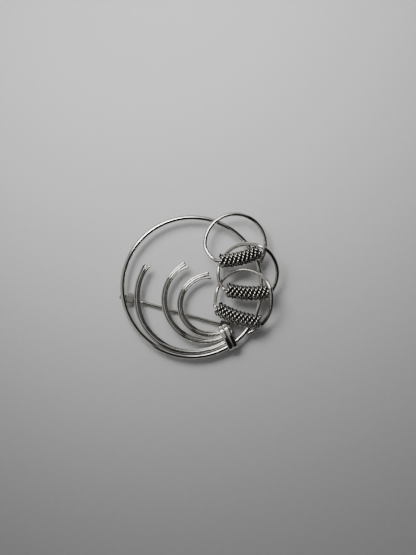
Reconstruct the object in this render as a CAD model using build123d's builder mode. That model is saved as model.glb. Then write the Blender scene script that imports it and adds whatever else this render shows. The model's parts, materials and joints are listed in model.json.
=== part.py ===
from build123d import *
from math import ceil, cos, degrees, radians, sin, tan
import os

# Wire-work circle brooch. Millimetres, +Z up, lying on its back findings: the front faces up.
# The origin is the middle of the bounding box, at the level the catch rests on.

# Wire gauges
RING_WIRE = 1.3
HOOP_WIRE = 1.02
STRAND_WIRE = 0.64
PIN_WIRE = 0.86

# Frame ring
RING_X = -1.925
RING_Y = -0.36
RING_Z = 4.25
RING_RADIUS = 18.9

# Sprays: each starts in the collar and curls clockwise to its fanned tip. Arcs are (radius, degrees).
# The strands lie close in the collar, open out over the "widen" distances and fan at the tip.
SPRAY_LIFT = 0.3
FAN_LENGTH = 3.2
LONG_PRONG = 0.5
STATION_STEP = 1.6
SPRAYS = {
    "outer": {
        "start": (11.37, -13.36),
        "heading": 220.4,
        "arcs": [(17.54, 47), (14.6, 73), (15.3, 34)],
        "widen": (15, 24),
    },
    "middle": {
        "start": (10.98, -12.08),
        "heading": 218,
        "arcs": [(11.7, 57), (11.1, 90), (10.2, 29)],
        "widen": (3.5, 9),
    },
    "inner": {
        "start": (10.35, -10.85),
        "heading": 220,
        "arcs": [(8.4, 84), (7.8, 79), (8.3, 35)],
        "widen": (2, 8),
    },
}
# Each strand: how far it lies to the outside of the curl, and how high, in the collar, on the run and at the tip
STRANDS = {
    "outside": {"sides": (0.34, 0.52, 0.84), "heights": (-0.19, -0.14, -0.1), "prong": FAN_LENGTH},
    "inside": {"sides": (-0.34, -0.52, -0.78), "heights": (-0.19, -0.14, -0.1), "prong": FAN_LENGTH + LONG_PRONG},
    "top": {"sides": (0, 0, 0.18), "heights": (0.38, 0.28, 0.2), "prong": FAN_LENGTH},
}

# Collar: two half-round bands side by side. The long axis points out across the bundle.
COLLAR_X = 9.69
COLLAR_Y = -13.44
COLLAR_HEADING = -62
BAND_WIDTH = 1.4
BAND_GAP = 0.02
BAND_THICKNESS = 0.55
BAND_ROUND = 0.42
BAND_IN = -3.2
BAND_OUT = 3.8
BAND_TOP = 1.65
BAND_CROWN = 2.0
BAND_BOTTOM = -1.25
BAND_END = 0.9

# Hoops: each wire leaves the ring's outer side, circles counter-clockwise and ends inside its own coil.
# Points and heights are measured from the ring's centre, and a hoop's heights are at even steps of angle.
HOOPS = {
    "upper": {
        "leaving": [(18.61, 6.54, 0.35)],
        "centre": (11.73, 11.54),
        "radius": 8.2,
        "angles": (-12, 180),
        "heights": [0.55, 0.7, 0.85, 1.0, 1.15, 1.3, 1.4, 1.55, 1.75],
        "approach": [(4.05, 9.5, 2.1), (5.25, 8.05, 2.6)],
        "coil_start": (7.35, 7.03),
        "coil_heading": 0.2,
        "coil_sweep": 28,
    },
    "middle": {
        "leaving": [(19.5, -3.61, 0.3)],
        "centre": (15.1, 3.62),
        "radius": 8.0,
        "angles": (-31, 193),
        "heights": [0.45, 1.4, 3.0, 5.28, 5.28, 2.9, 1.0, -0.15, -0.1, 1.2],
        "approach": [(8.05, 0.25, 2.3)],
        "coil_start": (9.25, -0.68),
        "coil_heading": -16.3,
        "coil_sweep": 29,
    },
    "lower": {
        "leaving": [(15.24, -12.53, 0.5), (18.9, -10.5, 0.8), (21.2, -7.0, 2.8)],
        "centre": (14.0, -2.6),
        "radius": 7.3,
        "angles": (-6, 166),
        "heights": [5.5, 5.42, 3.7, 2.2, 1.2, 0.35, -0.15],
        "approach": [(6.3, -4.3, 1.6)],
        "coil_start": (6.75, -5.52),
        "coil_heading": -32.8,
        "coil_sweep": 30,
    },
}
# How far a hoop's corners are rounded, as a share of the shorter run beside each
CORNER_SHARE = 0.45

# Coils: strands wound close on the hoop wire, as a ribbed sleeve. Each rib leans like the winding.
COIL_HEIGHT = 2.8
COIL_BEND = 24
COIL_LEAD = 0.9
COIL_BORE = HOOP_WIRE / 2 + 0.02
COIL_SLEEVE = 1.25
WINDING_RADIUS = 1.45
WINDING_WIRE = 1.22
WINDINGS = 10
WINDING_LEAN = 14

# Pin: the stem hinges behind the collar and runs to the catch behind the ring's left side
PIN_DROP = 2.7
HINGE_X = 8.8
HINGE_Y = -10.53
CATCH_X = -16.76
CATCH_Y = -3.29
NECK_END = 2.2
TAPER_START = 23.3
TIP_LENGTH = 27.9
NECK_INSET = 0.02
NECK_SHOULDER = 1.0
TAPER_END_RADIUS = 0.3
POINT_LENGTH = 1.2
POINT_RADIUS = 0.05
EYE_RADIUS = 0.8
EYE_WIDTH = 1.0
RIVET_RADIUS = 0.3
RIVET_PLAY = 0.05
SIDE_PLAY = 0.12
EAR_THICKNESS = 0.5
EAR_RADIUS = 0.85
BRACKET_LENGTH = 2.6
BRACKET_TAIL = 1.7
BRACKET_THICKNESS = 0.4
RIVET_HEAD_RADIUS = 0.5
RIVET_HEAD = 0.22
RIVET_ROUND = 0.12

# Catch: a slotted round housing on a base plate, with a slotted rotor that turns in it
HOUSING_RADIUS = 1.65
HOUSING_WIDTH = 1.3
ROTOR_RADIUS = 1.05
ROTOR_PLAY = 0.06
ROTOR_BORE = 0.56
SLOT_WIDTH = 1.12
FLANGE_RADIUS = 1.4
FLANGE_WIDTH = 0.3
FLANGE_GAP = 0.08
TAB_LENGTH = 2.5
TAB_WIDTH = 0.9
PLATE_LENGTH = 3.8
PLATE_WIDTH = 1.5
PLATE_SHIFT = 1.1
PLATE_CORNER = 0.3
HOUSING_ROUND = 0.12
# Thin gap left where one piece is soldered to another
SOLDER_GAP = 0.01

ring_centre = Vector(RING_X, RING_Y, RING_Z)
os.makedirs("parts", exist_ok=True)


def save(piece, name):
    piece.part.label = name
    export_step(piece.part, f"parts/{name}.step")


def direction(heading):
    return Vector(cos(radians(heading)), sin(radians(heading)), 0)


def section_at_start(path):
    return Plane(origin=path @ 0, z_dir=path % 0)


# Frame ring
with BuildPart(Plane(origin=ring_centre)) as frame_ring:
    Torus(RING_RADIUS, RING_WIRE / 2)
save(frame_ring, "frame_ring")


# Sprays
def spray_stations(spray, prong):
    """Points along a spray's middle line, each with its heading and its distance from the start."""
    last_radius = spray["arcs"][-1][0]
    position = ring_centre + Vector(*spray["start"], SPRAY_LIFT)
    heading = spray["heading"]
    travelled = 0
    stations = [(position, heading, travelled)]
    for radius, sweep_angle in [*spray["arcs"], (last_radius, degrees(prong / last_radius))]:
        centre = position + direction(heading - 90) * radius
        count = ceil(radians(sweep_angle) * radius / STATION_STEP)
        for number in range(count):
            heading -= sweep_angle / count
            travelled += radians(sweep_angle) * radius / count
            position = centre + direction(heading + 90) * radius
            stations.append((position, heading, travelled))
    return stations


def strand_path(spray, strand):
    """The strand's line: beside the spray's middle line, by an offset that grows along the way."""
    widen_from, widen_to = spray["widen"]
    stations = spray_stations(spray, strand["prong"])
    fan_from = stations[-1][2] - strand["prong"]
    points = []
    for position, heading, travelled in stations:
        share = min(max((travelled - widen_from) / (widen_to - widen_from), 0), 1)
        opened = share * share * (3 - 2 * share)
        fanned = max(travelled - fan_from, 0) ** 2 / FAN_LENGTH**2
        side, height = (
            collar + (run - collar) * opened + (tip - run) * fanned
            for collar, run, tip in (strand["sides"], strand["heights"])
        )
        points.append(position + direction(heading + 90) * side + Vector(0, 0, height))
    with BuildLine() as path:
        Spline(*points)
    return path


for spray_name, spray in SPRAYS.items():
    for strand_name, strand in STRANDS.items():
        path = strand_path(spray, strand)
        with BuildPart() as strand_wire:
            with BuildSketch(section_at_start(path.wire())):
                Circle(STRAND_WIRE / 2)
            sweep(path=path.wire())
        save(strand_wire, f"{spray_name}_spray_{strand_name}_wire")

# Collar bands
collar_axis = direction(COLLAR_HEADING)
collar_across = direction(COLLAR_HEADING + 90)
for band_name, shift in (("inner", -BAND_WIDTH), ("outer", 0.0)):
    band_origin = ring_centre + Vector(COLLAR_X, COLLAR_Y, 0)
    band_origin += collar_across * (shift + BAND_GAP / 2)
    band_plane = Plane(origin=band_origin, x_dir=collar_axis, z_dir=collar_across)
    with BuildPart() as band:
        with BuildSketch(band_plane) as outline:
            with BuildLine():
                crown = ThreePointArc(
                    (BAND_IN + BAND_END, -BAND_TOP),
                    ((BAND_IN + BAND_OUT) / 2, -BAND_CROWN),
                    (BAND_OUT - BAND_END, -BAND_TOP),
                )
                far_end = ThreePointArc(crown @ 1, (BAND_OUT, 0), (BAND_OUT - BAND_END, -BAND_BOTTOM))
                back = Line(far_end @ 1, (BAND_IN + BAND_END, -BAND_BOTTOM))
                ThreePointArc(back @ 1, (BAND_IN, 0), crown @ 0)
            make_face()
        extrude(amount=BAND_WIDTH - BAND_GAP)
        fillet(band.edges(), BAND_ROUND)
        with BuildSketch(band_plane):
            offset(outline.sketch_local, amount=-BAND_THICKNESS)
        extrude(amount=BAND_WIDTH, both=True, mode=Mode.SUBTRACT)
    save(band, f"{band_name}_collar_band")


# Hoops and coils
def corner_radii(points):
    radii = []
    for before, corner, after in zip(points, points[1:], points[2:]):
        arriving = corner - before
        leaving = after - corner
        turn = arriving.get_angle(leaving)
        radii.append(CORNER_SHARE * min(arriving.length, leaving.length) / tan(radians(turn / 2)))
    return radii


def hoop_points(hoop):
    first, last = hoop["angles"]
    step = (last - first) / (len(hoop["heights"]) - 1)
    # A rounded corner runs inside its point, so the points stand out by this share
    stand_out = 1 / cos(radians(step / 2))
    points = [ring_centre + Vector(*point) for point in hoop["leaving"]]
    for number, height in enumerate(hoop["heights"]):
        spoke = direction(first + number * step) * hoop["radius"] * stand_out
        points.append(ring_centre + Vector(*hoop["centre"], height) + spoke)
    points += [ring_centre + Vector(*point) for point in hoop["approach"]]
    coil_start = ring_centre + Vector(*hoop["coil_start"], COIL_HEIGHT)
    points.append(coil_start - direction(hoop["coil_heading"]) * COIL_LEAD)
    points.append(coil_start)
    return points


for hoop_name, hoop in HOOPS.items():
    points = hoop_points(hoop)
    coil_direction = direction(hoop["coil_heading"])
    with BuildLine() as hoop_path:
        FilletPolyline(*points, radius=corner_radii(points))
        JernArc(points[-1], coil_direction, COIL_BEND, hoop["coil_sweep"])
    with BuildPart() as hoop_wire:
        with BuildSketch(section_at_start(hoop_path.wire())):
            Circle(HOOP_WIRE / 2)
        sweep(path=hoop_path.wire())
    save(hoop_wire, f"{hoop_name}_hoop")

    with BuildLine() as coil_path:
        coil_arc = JernArc(points[-1], coil_direction, COIL_BEND, hoop["coil_sweep"])
    with BuildPart() as coil:
        with BuildSketch(section_at_start(coil_arc)):
            Circle(COIL_SLEEVE)
            Circle(COIL_BORE, mode=Mode.SUBTRACT)
        sweep(path=coil_path.wire())
        for winding in range(WINDINGS):
            share = (winding + 0.5) / WINDINGS
            leaning = (coil_arc % share).rotate(Axis.Z, -WINDING_LEAN)
            with Locations(Plane(origin=coil_arc @ share, z_dir=leaning).location):
                Torus(WINDING_RADIUS, WINDING_WIRE / 2)
    save(coil, f"{hoop_name}_coil")

# Pin line: from the hinge to the catch, level, below the ring
hinge_origin = ring_centre + Vector(HINGE_X, HINGE_Y, -PIN_DROP)
catch_origin = ring_centre + Vector(CATCH_X, CATCH_Y, -PIN_DROP)
pin_direction = (catch_origin - hinge_origin).normalized()
rivet_direction = Vector(pin_direction.Y, -pin_direction.X, 0)
# Seen along the rivet: x runs along the pin and y is up
hinge_side = Plane(origin=hinge_origin, x_dir=pin_direction, z_dir=rivet_direction)
pin_line = Plane(origin=hinge_origin, x_dir=rivet_direction, z_dir=pin_direction)

# Pin stem: eye, thick neck, straight shaft, slow taper and point
with BuildPart() as pin_stem:
    with BuildSketch(hinge_side.offset(-EYE_WIDTH / 2)):
        Circle(EYE_RADIUS)
    extrude(amount=EYE_WIDTH)
    with BuildSketch(hinge_side):
        with BuildLine():
            Polyline(
                (0, 0),
                (0, EYE_WIDTH / 2 - NECK_INSET),
                (NECK_SHOULDER, EYE_WIDTH / 2 - NECK_INSET),
                (NECK_END, PIN_WIRE / 2),
                (TAPER_START, PIN_WIRE / 2),
                (TIP_LENGTH - POINT_LENGTH, TAPER_END_RADIUS),
                (TIP_LENGTH, POINT_RADIUS),
                (TIP_LENGTH, 0),
                close=True,
            )
        make_face()
    revolve(axis=Axis(hinge_origin, pin_direction))
    with BuildSketch(hinge_side.offset(-EYE_WIDTH)):
        Circle(RIVET_RADIUS + RIVET_PLAY)
    extrude(amount=2 * EYE_WIDTH, mode=Mode.SUBTRACT)
save(pin_stem, "pin_stem")

# Hinge bracket: a plate under the collar with an ear on each side of the eye
ear_inside = EYE_WIDTH / 2 + SIDE_PLAY
plate_top = PIN_DROP + BAND_BOTTOM - SOLDER_GAP
with BuildPart() as hinge_bracket:
    for ear_start in (ear_inside, -ear_inside - EAR_THICKNESS):
        with BuildSketch(hinge_side.offset(ear_start)):
            Circle(EAR_RADIUS)
            with Locations((0, plate_top / 2)):
                Rectangle(2 * EAR_RADIUS, plate_top)
        extrude(amount=EAR_THICKNESS)
    with BuildSketch(hinge_side.offset(-ear_inside - EAR_THICKNESS - BRACKET_TAIL)):
        with Locations((0, plate_top - BRACKET_THICKNESS / 2)):
            Rectangle(BRACKET_LENGTH, BRACKET_THICKNESS)
    extrude(amount=2 * (ear_inside + EAR_THICKNESS) + BRACKET_TAIL)
    with BuildSketch(hinge_side.offset(-2 * ear_inside)):
        Circle(RIVET_RADIUS)
    extrude(amount=4 * ear_inside, mode=Mode.SUBTRACT)
save(hinge_bracket, "hinge_bracket")

# Hinge rivet: a shank through both ears with a round head on each end
shank_half = ear_inside + EAR_THICKNESS
with BuildPart() as hinge_rivet:
    with BuildSketch(hinge_side.offset(-shank_half)):
        Circle(RIVET_RADIUS)
    extrude(amount=2 * shank_half)
    with BuildSketch(hinge_side.offset(shank_half)):
        Circle(RIVET_HEAD_RADIUS)
    extrude(amount=RIVET_HEAD)
    with BuildSketch(hinge_side.offset(-shank_half)):
        Circle(RIVET_HEAD_RADIUS)
    extrude(amount=-RIVET_HEAD)
    rims = hinge_rivet.edges().filter_by(GeomType.CIRCLE).group_by(Axis(hinge_origin, rivet_direction))
    fillet(rims[0] + rims[-1], RIVET_ROUND)
save(hinge_rivet, "hinge_rivet")

# Catch base: a small plate soldered behind the ring
catch_side = Plane(origin=catch_origin, x_dir=rivet_direction, z_dir=pin_direction)
plate_low = HOUSING_RADIUS + SOLDER_GAP
plate_high = PIN_DROP - RING_WIRE / 2 - SOLDER_GAP
base_plane = Plane(origin=catch_origin + pin_direction * PLATE_SHIFT, x_dir=pin_direction)
with BuildPart() as catch_base:
    with BuildSketch(base_plane.offset(plate_low)):
        RectangleRounded(PLATE_LENGTH, PLATE_WIDTH, PLATE_CORNER)
    extrude(amount=plate_high - plate_low)
save(catch_base, "catch_base")

# Catch housing: a thick disc with a round bore, open at the bottom so that the pin can drop out
with BuildPart() as catch_housing:
    with BuildSketch(catch_side.offset(-HOUSING_WIDTH / 2)):
        Circle(HOUSING_RADIUS)
        Circle(ROTOR_RADIUS + ROTOR_PLAY, mode=Mode.SUBTRACT)
        with Locations((0, HOUSING_RADIUS)):
            Rectangle(SLOT_WIDTH, 2 * HOUSING_RADIUS, mode=Mode.SUBTRACT)
    extrude(amount=HOUSING_WIDTH)
    fillet(catch_housing.edges().filter_by(GeomType.CIRCLE), HOUSING_ROUND)
save(catch_housing, "catch_housing")

# Catch rotor: a slotted barrel in the housing's bore, with a flange at each end and a finger tab on one
with BuildPart() as catch_rotor:
    barrel_half = HOUSING_WIDTH / 2 + FLANGE_GAP
    with BuildSketch(catch_side.offset(-barrel_half)):
        Circle(ROTOR_RADIUS)
    extrude(amount=2 * barrel_half)
    with BuildSketch(catch_side.offset(barrel_half)):
        Circle(FLANGE_RADIUS)
    extrude(amount=FLANGE_WIDTH)
    with BuildSketch(catch_side.offset(-barrel_half - FLANGE_WIDTH)):
        Circle(FLANGE_RADIUS)
        with Locations((TAB_LENGTH / 2, 0)):
            SlotOverall(TAB_LENGTH, TAB_WIDTH)
    extrude(amount=FLANGE_WIDTH)
    with BuildSketch(catch_side.offset(-2 * HOUSING_WIDTH)):
        Circle(ROTOR_BORE)
        with Locations((0, HOUSING_RADIUS)):
            Rectangle(2 * ROTOR_BORE, 2 * HOUSING_RADIUS)
    extrude(amount=4 * HOUSING_WIDTH, mode=Mode.SUBTRACT)
save(catch_rotor, "catch_rotor")
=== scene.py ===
"""Wire-work circle brooch lying face up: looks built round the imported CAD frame. Metres, +Z up."""

import json
import math

import bpy
from mathutils import Matrix, Vector
from mathutils.kdtree import KDTree


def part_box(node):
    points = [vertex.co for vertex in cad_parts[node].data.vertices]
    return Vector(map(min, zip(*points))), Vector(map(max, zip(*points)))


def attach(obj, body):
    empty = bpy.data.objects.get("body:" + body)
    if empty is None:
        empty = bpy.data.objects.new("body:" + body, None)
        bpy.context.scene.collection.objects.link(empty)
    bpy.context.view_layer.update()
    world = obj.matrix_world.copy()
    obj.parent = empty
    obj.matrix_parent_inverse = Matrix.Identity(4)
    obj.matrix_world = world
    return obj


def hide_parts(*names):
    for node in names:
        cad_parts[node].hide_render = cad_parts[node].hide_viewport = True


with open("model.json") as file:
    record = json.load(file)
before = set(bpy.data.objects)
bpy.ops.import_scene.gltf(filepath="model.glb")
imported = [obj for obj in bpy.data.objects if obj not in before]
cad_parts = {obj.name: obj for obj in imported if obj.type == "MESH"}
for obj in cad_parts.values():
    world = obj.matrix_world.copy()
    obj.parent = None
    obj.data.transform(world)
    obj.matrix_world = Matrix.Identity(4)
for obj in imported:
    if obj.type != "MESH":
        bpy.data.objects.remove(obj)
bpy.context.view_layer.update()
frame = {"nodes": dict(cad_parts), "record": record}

MM = 0.001
TURN = 2 * math.pi

# Wires, in metres
HOOP_WIRE = 1.02 * MM
STRAND_WIRE = 0.64 * MM
WINDING_STRAND = 0.64 * MM

# Sprays: millimetres and degrees from the frame ring's centre, as the CAD has them
SPRAY_LIFT = 0.3
FAN_LENGTH = 3.2
LONG_PRONG = 0.5
SPRAY_STEP = 0.3
SPRAYS = {
    "outer": {
        "start": (11.37, -13.36),
        "heading": 220.4,
        "arcs": [(17.54, 47), (14.6, 73), (15.3, 34)],
        "widen": (15, 24),
    },
    "middle": {
        "start": (10.98, -12.08),
        "heading": 218,
        "arcs": [(11.7, 57), (11.1, 90), (10.2, 29)],
        "widen": (3.5, 9),
    },
    "inner": {
        "start": (10.35, -10.85),
        "heading": 220,
        "arcs": [(8.4, 84), (7.8, 79), (8.3, 35)],
        "widen": (2, 8),
    },
}
# Each strand: how far to the outside of the curl, and how high, in the collar, on the run and at the tip
STRANDS = {
    "outside": {"sides": (0.34, 0.52, 0.84), "heights": (-0.19, -0.14, -0.1), "prong": FAN_LENGTH},
    "inside": {
        "sides": (-0.34, -0.52, -0.78),
        "heights": (-0.19, -0.14, -0.1),
        "prong": FAN_LENGTH + LONG_PRONG,
    },
    "top": {"sides": (0, 0, 0.18), "heights": (0.38, 0.28, 0.2), "prong": FAN_LENGTH},
}

# Hoops: millimetres and degrees from the frame ring's centre, as the CAD has them
HOOPS = {
    "upper": {
        "leaving": [(18.61, 6.54, 0.35)],
        "centre": (11.73, 11.54),
        "radius": 8.2,
        "angles": (-12, 180),
        "heights": [0.55, 0.7, 0.85, 1.0, 1.15, 1.3, 1.4, 1.55, 1.75],
        "approach": [(4.05, 9.5, 2.1), (5.25, 8.05, 2.6)],
        "coil_start": (7.35, 7.03),
        "coil_heading": 0.2,
        "coil_sweep": 28,
    },
    "middle": {
        "leaving": [(19.5, -3.61, 0.3)],
        "centre": (15.1, 3.62),
        "radius": 8.0,
        "angles": (-31, 193),
        "heights": [0.45, 1.4, 3.0, 5.28, 5.28, 2.9, 1.0, -0.15, -0.1, 1.2],
        "approach": [(8.05, 0.25, 2.3)],
        "coil_start": (9.25, -0.68),
        "coil_heading": -16.3,
        "coil_sweep": 29,
    },
    "lower": {
        "leaving": [(15.24, -12.53, 0.5), (18.9, -10.5, 0.8), (21.2, -7.0, 2.8)],
        "centre": (14.0, -2.6),
        "radius": 7.3,
        "angles": (-6, 166),
        "heights": [5.5, 5.42, 3.7, 2.2, 1.2, 0.35, -0.15],
        "approach": [(6.3, -4.3, 1.6)],
        "coil_start": (6.75, -5.52),
        "coil_heading": -32.8,
        "coil_sweep": 30,
    },
}
COIL_HEIGHT = 2.8
COIL_BEND = 24
COIL_LEAD = 0.9

# Windings: ropes of two strands, laid side by side round each hoop's last stretch
ROPES = 3
ROPE_RADIUS = 1.41 * MM
ROPE_LEAD = 3.57 * MM
TWISTS_PER_TURN = 6
CORE_RADIUS = 0.95 * MM

# How far the tarnish and painted shade reach from where wires meet
SOLDER_REACH = 0.25 * MM
WINDING_REACH = 0.42 * MM

# Mesh fineness
LINE_STEP = 0.3 * MM
CORNER_STEP = 0.25 * MM
RING_STEPS = 360
CORE_STEPS = 40
ROPE_STEPS_PER_TURN = 84
ROPE_END_INSET = 0.55
CORE_START, CORE_SPAN = 0.03, 0.94

# Plating: noise scales, and how far the gloss varies
PATCH_SCALE = 420
WEAR_SCALE = 1600
RIPPLE_SCALE = 900
RIPPLE_DEPTH = 0.1 * MM
GLOSS_SPREAD = 0.04

# The view: straight down, this wide at the ring's height, looking at a point beside the ring's centre
VIEW_WIDTH = 113 * MM
VIEW_SHIFT = Vector((4.35, 2.58, 0)) * MM
CAMERA_DISTANCE = 0.30
SENSOR_WIDTH = 36

# The room: which side of it is bright, and where the edge of the bright part lies
BRIGHT_SIDE = (-0.85, 0.53, 0)
BRIGHT_FROM = -0.02
BRIGHT_TO = 0.08
ROOM_STRENGTH = 0.45
ROOM_DARK = 0.03
ROOM_BRIGHT = 1.0

# The lamp: a softbox beyond the object's upper side
LAMP_PLACE = Vector((-0.06, 0.15, 0.22))
LAMP_TARGET = Vector((0.0, 0.075, 0))
LAMP_SIZE = (0.18, 0.14)
LAMP_SPREAD = 46
LAMP_WATTS = 0.115

FLOOR_HALF = 0.6
FLOOR_TONES = (0.60, 0.66)

ring_low, ring_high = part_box("frame_ring")
ring_centre = (ring_low + ring_high) / 2
ring_wire = ring_high.z - ring_low.z
ring_radius = (ring_high.x - ring_low.x - ring_wire) / 2


# ---------------------------------------------------------------- paths


def direction(heading):
    return Vector((math.cos(math.radians(heading)), math.sin(math.radians(heading)), 0))


def from_ring(x, y, z):
    """A point given in millimetres from the frame ring's centre, in metres in the part's frame."""
    return ring_centre + Vector((x, y, z)) * MM


def arc_points(start, heading, radius, degrees, step):
    """Points along a level arc, the start left out. Negative degrees turn clockwise."""
    side = 1 if degrees > 0 else -1
    centre = start + direction(heading + 90 * side) * radius
    spoke = start - centre
    sweep = math.radians(degrees)
    count = max(2, math.ceil(abs(sweep) * radius / step))
    return [centre + Matrix.Rotation(sweep * n / count, 3, "Z") @ spoke for n in range(1, count + 1)]


def smooth_points(corners, step):
    """A smooth curve through the middles of a polyline's runs, straight at its two ends."""
    middles = [(a + b) / 2 for a, b in zip(corners, corners[1:])]
    points = [corners[0]]
    for before, corner, after in zip(middles, corners[1:-1], middles[1:]):
        count = max(3, math.ceil((after - before).length / step))
        for n in range(count):
            t = n / count
            points.append(before * (1 - t) ** 2 + corner * 2 * t * (1 - t) + after * t**2)
    return points + [middles[-1], corners[-1]]


def even_points(points, step):
    """The same line with its points evenly spaced."""
    lengths = [0.0]
    for a, b in zip(points, points[1:]):
        lengths.append(lengths[-1] + (b - a).length)
    count = max(2, round(lengths[-1] / step))
    result, at = [], 0
    for n in range(count + 1):
        wanted = lengths[-1] * n / count
        while at < len(points) - 2 and lengths[at + 1] < wanted:
            at += 1
        span = lengths[at + 1] - lengths[at] or 1
        result.append(points[at].lerp(points[at + 1], min(1, (wanted - lengths[at]) / span)))
    return result


# ---------------------------------------------------------------- meshes


def new_mesh_object(name, vertices, faces, material):
    mesh = bpy.data.meshes.new(name)
    mesh.from_pydata([tuple(v) for v in vertices], [], faces)
    mesh.validate()
    mesh.update()
    mesh.materials.append(material)
    for polygon in mesh.polygons:
        polygon.use_smooth = True
    made = bpy.data.objects.new(name, mesh)
    bpy.context.scene.collection.objects.link(made)
    return made


def frames_along(points, closed=False):
    """Tangent, side and up vectors at each point, carried along without twist."""
    count = len(points)
    tangents = []
    for n in range(count):
        before = points[(n - 1) % count] if closed or n > 0 else points[n]
        after = points[(n + 1) % count] if closed or n < count - 1 else points[n]
        tangents.append((after - before).normalized())
    side = tangents[0].orthogonal().normalized()
    frames = []
    for tangent in tangents:
        side = (side - tangent * side.dot(tangent)).normalized()
        frames.append((tangent, side, tangent.cross(side)))
    return frames


wires = []


def tube(name, points, radius, material, closed=False, sides=20, chamfer=0.18):
    """A round wire along the points. Open ends are cut square with a small chamfer."""
    frames = frames_along(points, closed)
    rings = [(p, radius) for p in points]
    if not closed:
        cut = radius * chamfer
        first, last = frames[0][0], frames[-1][0]
        rings[0] = (points[0] + first * cut, radius)
        rings[-1] = (points[-1] - last * cut, radius)
        rings = [(points[0], radius - cut), *rings, (points[-1], radius - cut)]
        frames = [frames[0], *frames, frames[-1]]
    vertices = []
    for (point, size), (_, side, up) in zip(rings, frames):
        for n in range(sides):
            angle = TURN * n / sides
            vertices.append(point + (side * math.cos(angle) + up * math.sin(angle)) * size)
    count = len(rings)
    faces = []
    for r in range(count if closed else count - 1):
        here, there = r * sides, (r + 1) % count * sides
        for n in range(sides):
            m = (n + 1) % sides
            faces.append((here + n, here + m, there + m, there + n))
    if not closed:
        faces.append(tuple(reversed(range(sides))))
        faces.append(tuple((count - 1) * sides + n for n in range(sides)))
    made = new_mesh_object(name, vertices, faces, material)
    if not closed:
        for polygon in made.data.polygons[-2:]:
            polygon.use_smooth = False
    wires.append((made, points, radius))
    return made


def settle_tarnish_and_shade(group, reach):
    """Marks each wire of the group where it comes this close to another, for the materials to darken with
    tarnish and painted shade.
    """
    tree = KDTree(sum(len(points) for _, points, _ in group))
    owners = []
    for owner, (_, points, _) in enumerate(group):
        for point in points:
            tree.insert(point, len(owners))
            owners.append(owner)
    tree.balance()
    widest = max(radius for _, _, radius in group)
    for own, (made, _, _) in enumerate(group):
        tarnish_and_shade = made.data.attributes.new("tarnish_and_shade", "FLOAT", "POINT")
        for vertex in made.data.vertices:
            nearest = reach
            for _, index, distance in tree.find_range(vertex.co, widest + reach):
                if owners[index] != own:
                    nearest = min(nearest, distance - group[owners[index]][2])
            tarnish_and_shade.data[vertex.index].value = 1 - max(0.0, nearest) / reach


# ---------------------------------------------------------------- materials


def plated_metal(name, light, dark, roughness, tarnish_and_shade=0.0, bump=0.02):
    """Polished plating: two close tones, uneven gloss, fine ripples, and tarnish with painted shade where
    wires touch.
    """
    material = bpy.data.materials.new(name)
    material.use_nodes = True
    nodes, links = material.node_tree.nodes, material.node_tree.links
    shader = nodes["Principled BSDF"]
    shader.inputs["Metallic"].default_value = 1.0
    place = nodes.new("ShaderNodeTexCoord").outputs["Object"]

    patches = nodes.new("ShaderNodeTexNoise")
    patches.inputs["Scale"].default_value = PATCH_SCALE
    patches.inputs["Detail"].default_value = 5
    links.new(place, patches.inputs["Vector"])
    spread = nodes.new("ShaderNodeMapRange")
    spread.inputs["From Min"].default_value = 0.35
    spread.inputs["From Max"].default_value = 0.75
    links.new(patches.outputs["Fac"], spread.inputs["Value"])
    tones = nodes.new("ShaderNodeMix")
    tones.data_type = "RGBA"
    tones.inputs["A"].default_value = (*light, 1)
    tones.inputs["B"].default_value = (*dark, 1)
    links.new(spread.outputs["Result"], tones.inputs["Factor"])
    colour = tones.outputs["Result"]
    # Where wires meet, the colour turns towards near-black: tarnish together with painted shade in the
    # crevices.
    if tarnish_and_shade:
        mark = nodes.new("ShaderNodeAttribute")
        mark.attribute_name = "tarnish_and_shade"
        amount = nodes.new("ShaderNodeMapRange")
        amount.inputs["From Max"].default_value = 0.8
        amount.inputs["To Max"].default_value = tarnish_and_shade
        links.new(mark.outputs["Fac"], amount.inputs["Value"])
        tarnish_and_shade_mix = nodes.new("ShaderNodeMix")
        tarnish_and_shade_mix.data_type = "RGBA"
        tarnish_and_shade_mix.inputs["B"].default_value = (*SHADE_AND_TARNISH, 1)
        links.new(amount.outputs["Result"], tarnish_and_shade_mix.inputs["Factor"])
        links.new(colour, tarnish_and_shade_mix.inputs["A"])
        colour = tarnish_and_shade_mix.outputs["Result"]
    links.new(colour, shader.inputs["Base Color"])

    wear = nodes.new("ShaderNodeTexNoise")
    wear.inputs["Scale"].default_value = WEAR_SCALE
    wear.inputs["Detail"].default_value = 6
    links.new(place, wear.inputs["Vector"])
    gloss = nodes.new("ShaderNodeMapRange")
    gloss.inputs["From Min"].default_value = 0.3
    gloss.inputs["From Max"].default_value = 0.8
    gloss.inputs["To Min"].default_value = roughness
    gloss.inputs["To Max"].default_value = roughness + GLOSS_SPREAD
    links.new(wear.outputs["Fac"], gloss.inputs["Value"])
    links.new(gloss.outputs["Result"], shader.inputs["Roughness"])

    ripple = nodes.new("ShaderNodeTexNoise")
    ripple.inputs["Scale"].default_value = RIPPLE_SCALE
    ripple.inputs["Detail"].default_value = 3
    links.new(place, ripple.inputs["Vector"])
    relief = nodes.new("ShaderNodeBump")
    relief.inputs["Strength"].default_value = bump
    relief.inputs["Distance"].default_value = RIPPLE_DEPTH
    links.new(ripple.outputs["Fac"], relief.inputs["Height"])
    links.new(relief.outputs["Normal"], shader.inputs["Normal"])
    return material


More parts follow.
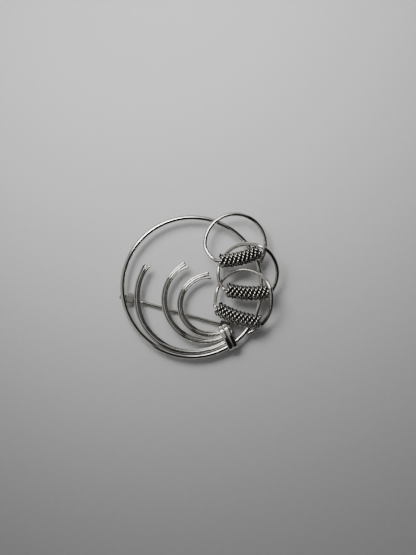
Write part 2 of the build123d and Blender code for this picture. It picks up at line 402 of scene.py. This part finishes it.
SILVER = (0.66, 0.65, 0.62)
SILVER_SHADE = (0.54, 0.52, 0.48)
WORN = (0.50, 0.48, 0.44)
WORN_SHADE = (0.38, 0.36, 0.32)
# Near-black, used where wires meet and for the coil's core: tarnish with painted shade in those hollows.
SHADE_AND_TARNISH = (0.035, 0.032, 0.028)
materials = {
    "ring_wire": plated_metal("ring_plating", SILVER, SILVER_SHADE, 0.05, tarnish_and_shade=0.8),
    "spray_wire": plated_metal("spray_plating", SILVER, SILVER_SHADE, 0.04, tarnish_and_shade=1.0, bump=0.005),
    "collar": plated_metal("collar_plating", SILVER, SILVER_SHADE, 0.05),
    "hoop_wire": plated_metal("hoop_plating", SILVER_SHADE, WORN, 0.06, tarnish_and_shade=0.8),
    "coil_wire": plated_metal("coil_plating", SILVER, SILVER_SHADE, 0.05, tarnish_and_shade=1.0),
    # The coil's core between the windings is coloured near-black: tarnish with painted shade inside the coil.
    "coil_core": plated_metal("coil_core_tarnish_and_shade", SHADE_AND_TARNISH, SHADE_AND_TARNISH, 0.4),
    "findings": plated_metal("findings_plating", WORN, WORN_SHADE, 0.14, bump=0.05),
    "pin_steel": plated_metal("pin_metal", WORN, WORN_SHADE, 0.12, bump=0.04),
}
slot_of = {row["node"]: row["material_slot"] for row in frame["record"]["subparts"]}
for node, cad_object in frame["nodes"].items():
    cad_object.data.materials.clear()
    cad_object.data.materials.append(materials[slot_of[node]])
    for polygon in cad_object.data.polygons:
        polygon.material_index = 0


def finish_wire(piece, node):
    """Every wire belongs to the brooch body and stands for its CAD node."""
    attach(piece, "brooch")
    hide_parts(node)


# ---------------------------------------------------------------- frame ring


def make_frame_ring():
    points = [ring_centre + direction(360 * n / RING_STEPS) * ring_radius for n in range(RING_STEPS)]
    ring = tube("frame_ring_wire", points, ring_wire / 2, materials["ring_wire"], closed=True, sides=32)
    finish_wire(ring, "frame_ring")


# ---------------------------------------------------------------- sprays


def make_spray_strand(spray_name, strand_name):
    """A strand beside the spray's middle line, by an offset that grows along the way."""
    spray, strand = SPRAYS[spray_name], STRANDS[strand_name]
    widen_from, widen_to = spray["widen"]
    last_radius = spray["arcs"][-1][0]
    arcs = [*spray["arcs"], (last_radius, math.degrees(strand["prong"] / last_radius))]
    fan_from = sum(math.radians(degrees) * radius for radius, degrees in spray["arcs"])
    middle, heading, travelled = from_ring(*spray["start"], SPRAY_LIFT), spray["heading"], 0.0
    points = []
    for radius, degrees in arcs:
        centre = middle + direction(heading - 90) * radius * MM
        count = math.ceil(math.radians(degrees) * radius / SPRAY_STEP)
        for _ in range(count):
            share = min(max((travelled - widen_from) / (widen_to - widen_from), 0), 1)
            opened = share * share * (3 - 2 * share)
            fanned = max(travelled - fan_from, 0) ** 2 / FAN_LENGTH**2
            side, height = (
                collar + (run - collar) * opened + (tip - run) * fanned
                for collar, run, tip in (strand["sides"], strand["heights"])
            )
            points.append(middle + (direction(heading + 90) * side + Vector((0, 0, height))) * MM)
            heading -= degrees / count
            travelled += math.radians(degrees) * radius / count
            middle = centre + direction(heading + 90) * radius * MM
    label = f"{spray_name}_spray_{strand_name}"
    finish_wire(tube(label, points, STRAND_WIRE / 2, materials["spray_wire"], sides=18), f"{label}_wire")


# ---------------------------------------------------------------- hoops and coils


def hoop_corners(hoop):
    first, last = hoop["angles"]
    step = (last - first) / (len(hoop["heights"]) - 1)
    stand_out = 1 / math.cos(math.radians(step / 2))
    corners = [from_ring(*point) for point in hoop["leaving"]]
    for number, height in enumerate(hoop["heights"]):
        spoke = direction(first + number * step) * hoop["radius"] * stand_out * MM
        corners.append(from_ring(*hoop["centre"], height) + spoke)
    corners += [from_ring(*point) for point in hoop["approach"]]
    coil_start = from_ring(*hoop["coil_start"], COIL_HEIGHT)
    lead = direction(hoop["coil_heading"]) * COIL_LEAD * MM
    return corners + [coil_start - lead, coil_start]


def make_hoop(name):
    hoop = HOOPS[name]
    points = smooth_points(hoop_corners(hoop), CORNER_STEP)
    points += arc_points(points[-1], hoop["coil_heading"], COIL_BEND * MM, hoop["coil_sweep"], LINE_STEP)
    points = even_points(points, LINE_STEP)
    wire = tube(f"{name}_hoop_wire", points, HOOP_WIRE / 2, materials["hoop_wire"], sides=24)
    finish_wire(wire, f"{name}_hoop")


def coil_frame(hoop, along):
    """The point on a coil's axis this far from its start, and the leftward direction there."""
    bend = COIL_BEND * MM
    heading = hoop["coil_heading"]
    centre = from_ring(*hoop["coil_start"], COIL_HEIGHT) + direction(heading + 90) * bend
    left = direction(heading + 90 + math.degrees(along / bend))
    return centre - left * bend, left


def rope_strands(hoop, first_angle):
    """Two strands twisted to the left, wound left-handed from one end of the coil to the other."""
    length = COIL_BEND * MM * math.radians(hoop["coil_sweep"])
    inset = WINDING_STRAND * ROPE_END_INSET
    turns = (length - 2 * inset) / ROPE_LEAD
    steps = round(turns * ROPE_STEPS_PER_TURN)
    rope, outwards, angles = [], [], []
    for n in range(steps + 1):
        along = inset + (length - 2 * inset) * n / steps
        axis_point, left = coil_frame(hoop, along)
        angle = first_angle - TURN * turns * n / steps
        outward = left * math.cos(angle) + Vector((0, 0, math.sin(angle)))
        rope.append(axis_point + outward * ROPE_RADIUS)
        outwards.append(outward)
        angles.append(angle)
    strands = ([], [])
    for (tangent, _, _), point, outward, angle in zip(frames_along(rope), rope, outwards, angles):
        across = tangent.cross(outward)
        for k, strand in enumerate(strands):
            twist = TWISTS_PER_TURN * angle + k * math.pi
            strand.append(point + (outward * math.cos(twist) + across * math.sin(twist)) * WINDING_STRAND / 2)
    return strands


def make_coil(name):
    hoop = HOOPS[name]
    length = COIL_BEND * MM * math.radians(hoop["coil_sweep"])
    for rope in range(ROPES):
        for k, strand in enumerate(rope_strands(hoop, TURN * rope / ROPES)):
            label = f"{name}_coil_rope_{rope + 1}_{'ab'[k]}"
            wire = tube(label, strand, WINDING_STRAND / 2, materials["coil_wire"], sides=12)
            finish_wire(wire, f"{name}_coil")
    shares = [CORE_START + CORE_SPAN * n / CORE_STEPS for n in range(CORE_STEPS + 1)]
    core_points = [coil_frame(hoop, length * share)[0] for share in shares]
    core = tube(f"{name}_coil_core", core_points, CORE_RADIUS, materials["coil_core"], sides=20)
    finish_wire(core, f"{name}_coil")


make_frame_ring()
for spray_name in SPRAYS:
    for strand_name in STRANDS:
        make_spray_strand(spray_name, strand_name)
for hoop_name in HOOPS:
    make_hoop(hoop_name)
settle_tarnish_and_shade(wires, SOLDER_REACH)
for hoop_name in HOOPS:
    wires.clear()
    make_coil(hoop_name)
    settle_tarnish_and_shade(wires, WINDING_REACH)


# ---------------------------------------------------------------- floor, light and camera


def make_floor():
    half = FLOOR_HALF
    corners = [(-half, -half, 0), (half, -half, 0), (half, half, 0), (-half, half, 0)]
    paper = bpy.data.materials.new("table_top")
    paper.use_nodes = True
    nodes, links = paper.node_tree.nodes, paper.node_tree.links
    shader = nodes["Principled BSDF"]
    shader.inputs["Roughness"].default_value = 0.55
    grain = nodes.new("ShaderNodeTexNoise")
    grain.inputs["Scale"].default_value = 700
    grain.inputs["Detail"].default_value = 6
    links.new(nodes.new("ShaderNodeTexCoord").outputs["Object"], grain.inputs["Vector"])
    tone = nodes.new("ShaderNodeMix")
    tone.data_type = "RGBA"
    tone.inputs["A"].default_value = (*[FLOOR_TONES[0]] * 3, 1)
    tone.inputs["B"].default_value = (*[FLOOR_TONES[1]] * 3, 1)
    links.new(grain.outputs["Fac"], tone.inputs["Factor"])
    links.new(tone.outputs["Result"], shader.inputs["Base Color"])
    floor = new_mesh_object("floor", corners, [(0, 1, 2, 3)], paper)


def aim(thing, target):
    thing.rotation_euler = (target - thing.location).to_track_quat("-Z", "Y").to_euler()


def make_lamp():
    """A softbox with a grid: its light falls off away from the target."""
    data = bpy.data.lights.new("window", "AREA")
    data.shape = "RECTANGLE"
    data.size, data.size_y = LAMP_SIZE
    data.spread = math.radians(LAMP_SPREAD)
    data.energy = LAMP_WATTS
    light = bpy.data.objects.new("window", data)
    light.location = LAMP_PLACE
    aim(light, LAMP_TARGET)
    bpy.context.scene.collection.objects.link(light)


def make_world():
    """A room that is bright on one side, towards BRIGHT_SIDE, and dark on the other."""
    world = bpy.data.worlds.new("studio")
    world.use_nodes = True
    nodes, links = world.node_tree.nodes, world.node_tree.links
    lean = nodes.new("ShaderNodeVectorMath")
    lean.operation = "DOT_PRODUCT"
    lean.inputs[1].default_value = BRIGHT_SIDE
    links.new(nodes.new("ShaderNodeTexCoord").outputs["Generated"], lean.inputs[0])
    edge = nodes.new("ShaderNodeMapRange")
    edge.interpolation_type = "SMOOTHSTEP"
    edge.inputs["From Min"].default_value = BRIGHT_FROM
    edge.inputs["From Max"].default_value = BRIGHT_TO
    links.new(lean.outputs["Value"], edge.inputs["Value"])
    tone = nodes.new("ShaderNodeMix")
    tone.data_type = "RGBA"
    tone.inputs["A"].default_value = (*[ROOM_DARK] * 3, 1)
    tone.inputs["B"].default_value = (*[ROOM_BRIGHT] * 3, 1)
    links.new(edge.outputs["Result"], tone.inputs["Factor"])
    background = nodes["Background"]
    background.inputs["Strength"].default_value = ROOM_STRENGTH
    links.new(tone.outputs["Result"], background.inputs["Color"])
    bpy.context.scene.world = world


def make_camera():
    data = bpy.data.cameras.new("camera")
    data.sensor_fit = "HORIZONTAL"
    data.sensor_width = SENSOR_WIDTH
    data.lens = SENSOR_WIDTH * CAMERA_DISTANCE / VIEW_WIDTH
    data.clip_start = 0.005
    data.dof.use_dof = False
    camera = bpy.data.objects.new("camera", data)
    camera.location = ring_centre + VIEW_SHIFT + Vector((0, 0, CAMERA_DISTANCE))
    bpy.context.scene.collection.objects.link(camera)
    bpy.context.scene.camera = camera


make_floor()
make_lamp()
make_world()
make_camera()
